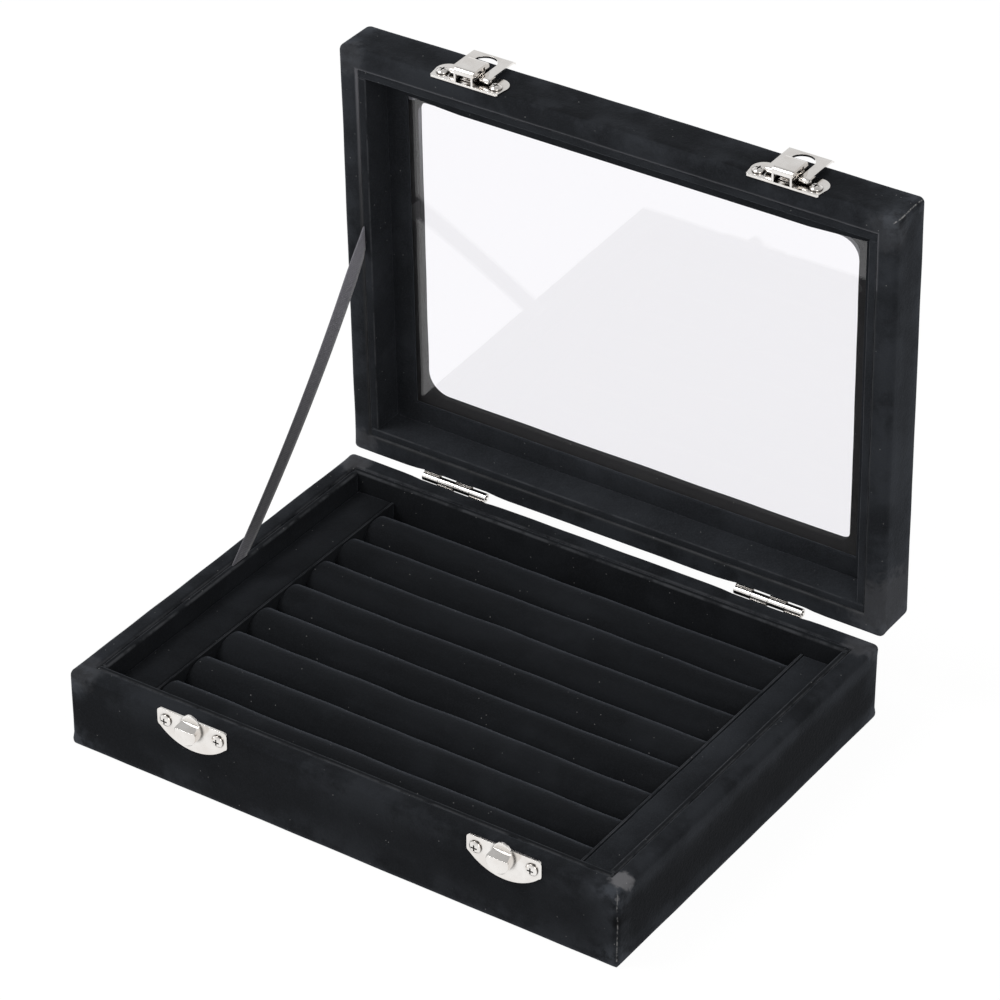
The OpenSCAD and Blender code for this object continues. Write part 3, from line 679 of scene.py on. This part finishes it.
def base_cover(material):
    """The covered base: soft outer edges, a rounded rim and the inside of its walls."""
    wall = base_high.x - liner_high.x - SEAM / 2
    bm = block(base_low, base_high)
    top = facing(bm, 2, 1, base_high.z)
    inset(bm, top, wall)
    sink(bm, top, Vector((0, 0, floor_high.z - base_high.z)))
    inner = Vector((base_high.x - wall, base_high.y - wall))
    rim = edges_with(bm, lambda c: abs(c.x) < inner.x + TINY and c.z > base_high.z - TINY)
    round_edges(bm, rim, RIM_R, 3)
    mark_edges(bm, lambda c: abs(c.x) < inner.x + RIM_R * 1.1 and abs(c.y) < inner.y + RIM_R * 1.1)
    round_edges(bm, edges_with(bm, on_box(base_low, base_high)), EDGE_R, 5)
    slice_up(bm, 4 * MM)
    tighten_back(bm, base_high.y, base_high.z)
    ripple(bm, SKIN_DEPTH, SKIN_WAVE, 1)
    raise_pile(bm, base_low, base_high, wall,
               [node_span(f"{part}_{side}") for part in ("catch", "hinge_base_leaf")
                for side in SIDES])
    for v in bm.verts:
        if v.co.z < base_low.z + EDGE_R:
            v.co.z -= BASE_HANG
            for axis in (0, 1):
                short = base_high[axis] + PILE - abs(v.co[axis])
                if short < EDGE_R:
                    v.co[axis] += math.copysign(short * 0.5, v.co[axis])
    return add_piece(bm, "base_cover", material, "base", ["base_velvet"])


# Each corner of the window, by its signs in X and Y, with its radius.
WINDOW_CORNERS = {(1, -1): 7.0 * MM, (-1, -1): 3.2 * MM, (1, 1): 3.6 * MM, (-1, 1): 8.0 * MM}
CUT_TOP_R = 0.9 * MM
CUT_FOOT_R = 0.35 * MM
LEFT_CUT_OUT = 0.5 * MM
RIGHT_CUT_OUT = 0.35 * MM


def lid_cover(material):
    """The covered lid: its skirt, its rim and the panel with a window cut in it."""
    wall = lid_high.x - lid_liner_high.x - SEAM / 2
    panel_low = glass_high.z + PANEL_GAP
    bm = block(lid_low, lid_high)
    rim_face = facing(bm, 2, -1, lid_low.z)
    inset(bm, rim_face, wall)
    ceiling = sink(bm, rim_face, Vector((0, 0, panel_low - lid_low.z)))
    inset(bm, ceiling, window_margin - wall)
    top = facing(bm, 2, 1, lid_high.z)
    inset(bm, top, window_margin)
    cut_through(bm, ceiling, top)
    for (sx, sy), radius in WINDOW_CORNERS.items():
        corner = Vector((sx * window_high.x, sy * window_high.y))
        post = edges_with(bm, lambda c: (c.xy - corner).length < CLOSE)
        round_edges(bm, post, radius, 8)
    reach = window_high.x + CLOSE

    def at_window(level):
        return edges_with(bm, lambda c: abs(c.z - level) < TINY and abs(c.x) < reach
                          and abs(c.y) < window_high.y + CLOSE)
    round_edges(bm, at_window(lid_high.z), CUT_TOP_R, 3)
    round_edges(bm, at_window(panel_low), CUT_FOOT_R, 2)
    ring = 1.5 * MM
    for v in bm.verts:
        if abs(v.co.x) < reach + ring and abs(v.co.y) < window_high.y + ring:
            v.co.x += -LEFT_CUT_OUT if v.co.x < 0 else RIGHT_CUT_OUT
    inner_x = lid_high.x - wall
    rim = edges_with(bm, lambda c: abs(c.x) < inner_x + TINY and c.z < lid_low.z + TINY)
    round_edges(bm, rim, LID_RIM_R, 3)
    mark_edges(bm, lambda c: c.z < lid_low.z + LID_RIM_R * 1.1 and abs(c.x) < inner_x + 1 * MM
               and abs(c.y) < lid_high.y - wall + 1 * MM)
    round_edges(bm, edges_with(bm, on_box(lid_low, lid_high)), EDGE_R, 5)
    slice_up(bm, 4 * MM)
    tighten_back(bm, lid_high.y, lid_low.z)
    ripple(bm, SKIN_DEPTH, SKIN_WAVE, 2)
    raise_pile(bm, lid_low, lid_high, wall,
               [lid_span(f"{part}_{side}") for part in ("latch_plate", "hinge_lid_leaf")
                for side in SIDES])
    return add_piece(bm, "lid_cover", material, "lid", ["lid_velvet"], SWING_OPEN)


def soft_card(low, high, radius, seed):
    """A covered card: a thin block with rounded edges and a faintly uneven skin."""
    bm = block(low, high)
    round_edges(bm, bm.edges[:], radius, 3)
    mark_edges(bm)
    slice_up(bm, 6 * MM)
    ripple(bm, 0.1 * MM, (18 * MM, 18 * MM, 18 * MM), seed)
    return bm


# The front rail of the glass's frame comes in by its belly, less by the easing at its ends.
RAIL_BELLY = 3.1 * MM
RAIL_EASED = 1.3 * MM
RAIL_EASED_FROM = 64 * MM
RAIL_EASED_OVER = 22 * MM


def retainer(material):
    """The covered frame that holds the glass, with its front rail bellied in."""
    low, high = lid_span("glass_retainer")
    opening = min(abs(v.co.x) for v in frame["nodes"]["glass_retainer"].data.vertices)
    lip = Vector((high.x, high.y, glass_low.z - 0.1 * MM))
    bm = block(low, lip)
    bottom = facing(bm, 2, -1, low.z)
    top = facing(bm, 2, 1, lip.z)
    rail = high.x - opening
    inset(bm, bottom, rail)
    inset(bm, top, rail)
    cut_through(bm, bottom, top)
    near = edges_with(bm, lambda c: c.z < low.z + TINY and abs(c.x) < opening + CLOSE)
    round_edges(bm, near, 0.4 * MM, 3)
    slice_up(bm, 6 * MM, (0, 1))
    for v in bm.verts:
        if abs(v.co.y - (low.y + rail)) < 1 * MM and abs(v.co.x) < opening + 1 * MM:
            end = min(1.0, max(0.0, (abs(v.co.x) - RAIL_EASED_FROM) / RAIL_EASED_OVER))
            v.co.y += RAIL_BELLY - RAIL_EASED * end
    ripple(bm, 0.06 * MM, (15 * MM, 15 * MM, 15 * MM), 31)
    return add_piece(bm, "glass_ledge", material, "lid", ["glass_retainer"],
                     SWING_OPEN)


def window_glass(material):
    """The pane, with its edges eased, a hair clear of the panel that it lies against."""
    bm = block(glass_low, glass_high - Vector((0, 0, 0.03 * MM)))
    round_edges(bm, bm.edges[:], 0.15 * MM, 2)
    piece = add_piece(bm, "window_glass", material, "lid", ["glass_pane"], SWING_OPEN)
    even_normals(piece)


# ---------------------------------------------------------------- the ring tray


def ring_roll(number, material):
    """A foam roll in velvet: half round, firm, and cut square at its ends."""
    node = f"ring_roll_{number}"
    low, high = node_span(node)
    half = (high.y - low.y) / 2
    bm = block(low, high)
    crest = [e for e in edges_along(bm, 0, half) if e.verts[0].co.z > high.z - TINY]
    round_edges(bm, crest, half * 0.97, 9)
    ends = [e for e in bm.edges if abs(e.verts[0].co.x - e.verts[1].co.x) < TINY
            and max(v.co.z for v in e.verts) > low.z + TINY]
    round_edges(bm, ends, 0.45 * MM, 3)
    slice_up(bm, 3 * MM, (0, 2))
    for v in bm.verts:
        rise = (v.co.z - low.z) / (high.z - low.z)
        spot = Vector((v.co.x / (34 * MM), number * 7.3, 0.0))
        v.co.z -= rise * 0.2 * MM * (1 + noise.noise(spot))
        spot = Vector((v.co.x / (26 * MM), number * 5.1, 4.0))
        v.co.y += rise * 0.5 * MM * noise.noise(spot)
    ripple(bm, 0.14 * MM, (9 * MM, 5 * MM, 5 * MM), number)
    piece = add_piece(bm, f"velvet_roll_{number}", material, "base", [node])


PAD_FILLED_OUT = 0.4 * MM


def end_pad(side, material):
    """The padded bar at one end of the rolls, a little fuller than its stand-in."""
    node = f"end_strip_{side}"
    low, high = node_span(node)
    high.z += PAD_FILLED_OUT
    bm = block(low, high)
    round_edges(bm, edges_with(bm, lambda c: c.z > high.z - TINY), 0.9 * MM, 4)
    round_edges(bm, edges_along(bm, 2, 5 * MM), 0.8 * MM, 2)
    slice_up(bm, 3.5 * MM)
    for v in bm.verts:
        rise = (v.co.z - low.z) / (high.z - low.z)
        across = (v.co.x - low.x) / (high.x - low.x) * 2 - 1
        v.co.z -= rise * 0.15 * MM * across * across
    ripple(bm, 0.2 * MM, (12 * MM, 12 * MM, 12 * MM), 41 if side == "left" else 42)
    piece = add_piece(bm, f"end_pad_{side}", material, "base", [node])


def divider_card(side, material):
    """The thin covered card between the rolls and an end pad."""
    node = f"divider_{side}"
    low, high = node_span(node)
    bm = block(low, high)
    round_edges(bm, bm.edges[:], 0.3 * MM, 2)
    mark_edges(bm)
    slice_up(bm, 5 * MM, (1, 2))
    ripple(bm, 0.08 * MM, (20 * MM, 20 * MM, 20 * MM), 51 if side == "left" else 52)
    add_piece(bm, f"divider_card_{side}", material, "base", [node])


def felt_base(material):
    """The felt on the underside, cut with round corners."""
    low, high = node_span("base_felt")
    bm = block(low, high)
    round_edges(bm, edges_along(bm, 2, CLOSE), 2.0 * MM, 5)
    add_piece(bm, "felt_base", material, "base", ["base_felt"])


# ---------------------------------------------------------------- ribbon


def ribbon(material):
    """The ribbon that stays the lid: taut, and tucked behind a lining card at each end."""
    low, high = node_span("ribbon_stay")
    middle = (low.x + high.x) / 2
    width = 6.0 * MM
    tuck = 8.0 * MM
    fold = 1.2 * MM
    gathered = 0.94
    most_twist = math.radians(11)
    most_bow = 2.0 * MM
    foot = Vector((middle, 3.2 * MM, base_high.z))
    head = SWING_OPEN @ Vector((middle, -7.2 * MM, lid_low.z))
    run = (head - foot).normalized()
    across = Vector((0, run.z, -run.y)) * (width / 2)
    seam_in = Vector((0, 0, -1))
    lid_in = (SWING_OPEN.to_3x3() @ Vector((0, 0, 1))).normalized()
    lid_seam = (SWING_OPEN.to_3x3() @ Vector((0, 1, 0))).normalized()
    base_cut = Vector((0, 1, 0)) * (width / 2 / abs(run.z))
    lid_cut = lid_seam * (width / 2 / abs(across.normalized().dot(lid_seam)))
    bm = bmesh.new()
    rows = [(foot + seam_in * tuck, Vector((0, 1, 0)) * width / 2),
            (foot + seam_in * fold, base_cut * gathered), (foot, base_cut)]
    length = (head - foot).length
    steps = 44
    for step in range(1, steps):
        along = step / steps
        twist = most_twist * along * min(1.0, (1 - along) * 9)
        cross = Vector((math.sin(twist) * width / 2, 0, 0)) + across * math.cos(twist)
        near = min(along, 1 - along) * length / (width * 0.75)
        if near < 1:
            cut = base_cut if along < 0.5 else lid_cut
            cross = cut.lerp(cross, near)
        bow = math.sin(along * math.pi) ** 0.8 * most_bow
        rows.append((foot.lerp(head, along) + Vector((bow, 0, 0)), cross))
    rows += [(head, lid_cut), (head + lid_in * fold, lid_cut * gathered),
             (head + lid_in * tuck, lid_seam * width / 2)]
    strips = 4
    point, cross = rows[0]
    row = [bm.verts.new(point + cross * (1 - 2 * i / strips)) for i in range(strips + 1)]
    edge = [bm.edges.new((row[i], row[i + 1])) for i in range(strips)]
    for point, cross in rows[1:]:
        made = bmesh.ops.extrude_edge_only(bm, edges=edge)["geom"]
        edge = [g for g in made if isinstance(g, bmesh.types.BMEdge)]
        fresh = [g for g in made if isinstance(g, bmesh.types.BMVert)]
        fresh.sort(key=lambda v: place_in_row(v, row))
        for i, v in enumerate(fresh):
            v.co = point + cross * (1 - 2 * i / strips)
        row = fresh
    bmesh.ops.recalc_face_normals(bm, faces=bm.faces)
    bmesh.ops.solidify(bm, geom=bm.faces[:], thickness=0.3 * MM)
    cloth = bm.loops.layers.uv.new("cloth")
    side = across.normalized()
    for face in bm.faces:
        for loop in face.loops:
            spot = loop.vert.co - foot
            loop[cloth].uv = (spot.dot(run), spot.dot(side))
    piece = add_piece(bm, "ribbon_strap", material, None, ["ribbon_stay"])
    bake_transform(piece)


def place_in_row(vert, row):
    """Where across the row an extruded vertex lies, by the vertex that it came from."""
    for other in (e.other_vert(vert) for e in vert.link_edges):
        if other in row:
            return row.index(other)
    return len(row)


# ---------------------------------------------------------------- metal fittings


def fitting(name, material, body, width, segments=2):
    """A pressed fitting: the frame's own shape with its sharp edges eased by a width."""
    bm = bmesh.new()
    bm.from_mesh(frame["nodes"][name].data)
    bmesh.ops.remove_doubles(bm, verts=bm.verts, dist=2e-6)
    bmesh.ops.dissolve_limit(bm, angle_limit=math.radians(1.5), verts=bm.verts, edges=bm.edges)
    sharp = [e for e in bm.edges if e.is_manifold and e.calc_face_angle(0) > math.radians(28)]
    bmesh.ops.bevel(
        bm, geom=sharp, offset=width, offset_type="OFFSET", segments=segments,
        profile=0.5, affect="EDGES", material=-1, clamp_overlap=True, loop_slide=True,
    )
    bmesh.ops.triangulate(bm, faces=[f for f in bm.faces if len(f.verts) > 4])
    piece = add_piece(bm, f"{name}_plated", material, body, [name])
    even_normals(piece)


# ---------------------------------------------------------------- light and camera


def pale_ground(name):
    """White to the camera and in gloss, and still taking a soft shadow."""
    finish = Finish(name, {"Roughness": 0.9})
    finish.paint("Base Color", finish.mixed(
        finish.clouds(finish.place(), 3.0), grey(0.81), grey(0.83)))
    glow = finish.wire("ShaderNodeEmission", {"Color": grey(1.0), "Strength": 1.03})
    rays = finish.add("ShaderNodeLightPath")
    seen = finish.most(
        finish.most(Wire(finish, rays.outputs["Is Camera Ray"]),
                    Wire(finish, rays.outputs["Is Glossy Ray"])),
        Wire(finish, rays.outputs["Is Transmission Ray"]),
    )
    blend = finish.add("ShaderNodeMixShader", {0: seen * 0.93})
    finish.tree.links.new(finish.shader.outputs[0], blend.inputs[1])
    finish.tree.links.new(glow.socket, blend.inputs[2])
    finish.tree.links.new(blend.outputs[0], finish.output.inputs["Surface"])
    return finish.material


def soft_lamp(name, place, aim, size, power):
    lamp = bpy.data.lights.new(name, "AREA")
    lamp.shape = "DISK"
    lamp.size = size
    lamp.energy = power
    holder = bpy.data.objects.new(name, lamp)
    bpy.context.scene.collection.objects.link(holder)
    holder.location = place
    holder.rotation_euler = (Vector(aim) - Vector(place)).to_track_quat("-Z", "Y").to_euler()


BOX_MIDDLE = (0, 0, 0.05)


def studio_world():
    """Soft light all round. White to the camera and in gloss, where it dims overhead."""
    world = bpy.data.worlds.new("studio")
    world.use_nodes = True
    tree = world.node_tree
    tree.nodes.clear()

    def greater(first, second):
        node = tree.nodes.new("ShaderNodeMath")
        node.operation = "MAXIMUM"
        tree.links.new(first, node.inputs[0])
        tree.links.new(second, node.inputs[1])
        return node.outputs[0]

    rays = tree.nodes.new("ShaderNodeLightPath")
    sky = tree.nodes.new("ShaderNodeTexCoord")
    parts = tree.nodes.new("ShaderNodeSeparateXYZ")
    tree.links.new(sky.outputs["Generated"], parts.inputs[0])
    rise = tree.nodes.new("ShaderNodeMapRange")
    for key, value in (("From Min", 0.2), ("From Max", 0.85), ("To Min", 1.0), ("To Max", 0.5)):
        rise.inputs[key].default_value = value
    tree.links.new(parts.outputs[2], rise.inputs["Value"])
    white = tree.nodes.new("ShaderNodeBackground")
    white.inputs["Color"].default_value = grey(1.0)
    dimmed = greater(rise.outputs[0], rays.outputs["Is Camera Ray"])
    tree.links.new(dimmed, white.inputs["Strength"])
    soft = tree.nodes.new("ShaderNodeBackground")
    soft.inputs["Strength"].default_value = 0.55
    soft.inputs["Color"].default_value = grey(1.0, (1.0, 0.995, 0.985))
    blend = tree.nodes.new("ShaderNodeMixShader")
    seen = greater(greater(rays.outputs["Is Camera Ray"], rays.outputs["Is Glossy Ray"]),
                   rays.outputs["Is Transmission Ray"])
    tree.links.new(seen, blend.inputs[0])
    tree.links.new(soft.outputs[0], blend.inputs[1])
    tree.links.new(white.outputs[0], blend.inputs[2])
    out = tree.nodes.new("ShaderNodeOutputWorld")
    tree.links.new(blend.outputs[0], out.inputs["Surface"])
    return world


def studio():
    """The camera, a pale floor, plain soft lamps and the world."""
    scene = bpy.context.scene
    scene.view_settings.view_transform = "Standard"
    azimuth, elevation = math.radians(33.768), math.radians(33.014)
    distance = 1.35883
    target = Vector((0.00907, 0.0, 0.08942))
    away = Vector((math.sin(azimuth) * math.cos(elevation),
                   -math.cos(azimuth) * math.cos(elevation), math.sin(elevation)))
    lens = bpy.data.cameras.new("camera")
    lens.sensor_width = 36.0
    lens.lens = 161.886
    camera = bpy.data.objects.new("camera", lens)
    scene.collection.objects.link(camera)
    camera.location = target + away * distance
    camera.rotation_euler = (-away).to_track_quat("-Z", "Y").to_euler()
    scene.camera = camera

    ground = bmesh.new()
    bmesh.ops.create_grid(ground, x_segments=8, y_segments=8, size=4.0)
    mesh = bpy.data.meshes.new("floor")
    ground.to_mesh(mesh)
    ground.free()
    floor = bpy.data.objects.new("floor", mesh)
    scene.collection.objects.link(floor)
    mesh.materials.append(pale_ground("pale_floor"))
    floor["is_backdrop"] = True

    scene.world = studio_world()
    soft_lamp("key", (-0.9, -0.7, 1.5), BOX_MIDDLE, 0.9, 16)
    soft_lamp("fill", (1.2, -0.9, 0.9), BOX_MIDDLE, 0.9, 7)


# ---------------------------------------------------------------- putting it together

# Worn places on each cover: where, how wide and how strong.
BASE_MARKS = (
    ((98.2 * MM, -69.6 * MM, 28 * MM), 4.4 * MM, 0.85),
    ((100.2 * MM, -75.4 * MM, 25.5 * MM), 0.9 * MM, 0.5),
    ((96 * MM, 72 * MM, 27 * MM), 7 * MM, 0.22),
    ((-97 * MM, -72 * MM, 27 * MM), 8 * MM, 0.13),
    ((-97 * MM, 72 * MM, 27 * MM), 8 * MM, 0.3),
)
LID_MARKS = (
    ((-97 * MM, -72 * MM, 29 * MM), 7 * MM, 0.12),
    ((97 * MM, -70 * MM, 29 * MM), 8 * MM, 0.09),
    ((99 * MM, 66 * MM, 34 * MM), 16 * MM, 0.2),
    ((-97 * MM, 73 * MM, 29 * MM), 7 * MM, 0.22),
)
cover_base = velvet("cover_velvet_base", depth=0.0098, sheen=0.2, edges=(base_low, base_high),
                    marks=BASE_MARKS, painted_face_shade=(1.0, 0.35), soft=0.34, threads=0.35, joined=0.45)
cover_lid = velvet("cover_velvet_lid", depth=0.0135, sheen=0.24, turned=SWING_SHUT,
                   edges=(lid_low, lid_high), marks=LID_MARKS, painted_face_shade=(0.0, 0.6), soft=0.3,
                   threads=0.3, glazed=glass_high.z)
lining_base = velvet("lining_velvet_base", depth=0.008, sheen=0.17, threads=0.4)
# Painted light: a lighter copy of the base lining, for the pad and card at the right end.
lit_lining_right = velvet("lining_velvet_right_lit", depth=0.0155, sheen=0.21, threads=0.7)
lining_lid = velvet("lining_velvet_lid", depth=0.0175, sheen=0.23, turned=SWING_SHUT,
                    threads=0.3)
# Painted shade: a darker copy of the lid lining, for the lid's left liner.
shaded_lining_lid_left = velvet("lining_velvet_lid_left_shaded", depth=0.0145, sheen=0.2, turned=SWING_SHUT,
                         threads=0.35)
rolls_velvet = velvet("roll_velvet", depth=0.0078, sheen=0.23, brush=(0.4, 1.6, 1.6))
felt = velvet("black_felt", depth=0.012, sheen=0.05)
plating = nickel()

base_cover(cover_base)
lid_cover(cover_lid)
for part, lining, placed, span, radius, first_seed in (
    ("base", lining_base, AS_IS, node_span, 0.9 * MM, 10),
    ("lid", lining_lid, SWING_OPEN, lid_span, 0.5 * MM, 20),
):
    for seed, side in enumerate(WALLS, first_seed):
        node = f"{part}_liner_{side}"
        low, high = span(node)
        card = soft_card(low, high, radius, seed)
        cloth = shaded_lining_lid_left if node == "lid_liner_left" else lining
        add_piece(card, f"{part}_lining_{side}", cloth, part, [node], placed)
retainer(lining_lid)
for number in range(1, 9):
    ring_roll(number, rolls_velvet)
for side in SIDES:
    lining = lit_lining_right if side == "right" else lining_base
    end_pad(side, lining)
    divider_card(side, lining)
felt_base(felt)
ribbon(ribbon_cloth())

board = raw_wood()
for part in ("base", "lid"):
    for side in WALLS:
        refinish(f"{part}_{side}_board", board)
refinish("base_floor_board", board)
refinish("lid_panel", black_paper())
refinish("tray_card", grey_card())
window_glass(clear_glass())

for side in SIDES:
    fitting(f"catch_{side}", plating, "base", 0.18 * MM, 3)
    fitting(f"latch_plate_{side}", plating, "lid", 0.14 * MM)
    fitting(f"latch_flap_{side}", plating, f"flap_{side}", 0.14 * MM)
    fitting(f"latch_pin_{side}", plating, "lid", 0.05 * MM)
    fitting(f"latch_spring_{side}", plating, "lid", 0.04 * MM)
    fitting(f"hinge_base_leaf_{side}", plating, "base", 0.1 * MM)
    fitting(f"hinge_lid_leaf_{side}", plating, "lid", 0.1 * MM)
    fitting(f"hinge_pin_{side}", plating, "base", 0.1 * MM)
for screws, body in (("catch_screws", "base"), ("latch_screws", "lid"),
                     ("hinge_base_screws", "base"), ("hinge_lid_screws", "lid")):
    fitting(screws, plating, body, 0.1 * MM)

studio()

for bounds in (frame_bounds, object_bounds()):
    json.dumps([[round(value, 5) for value in corner] for corner in bounds]) + "\n"
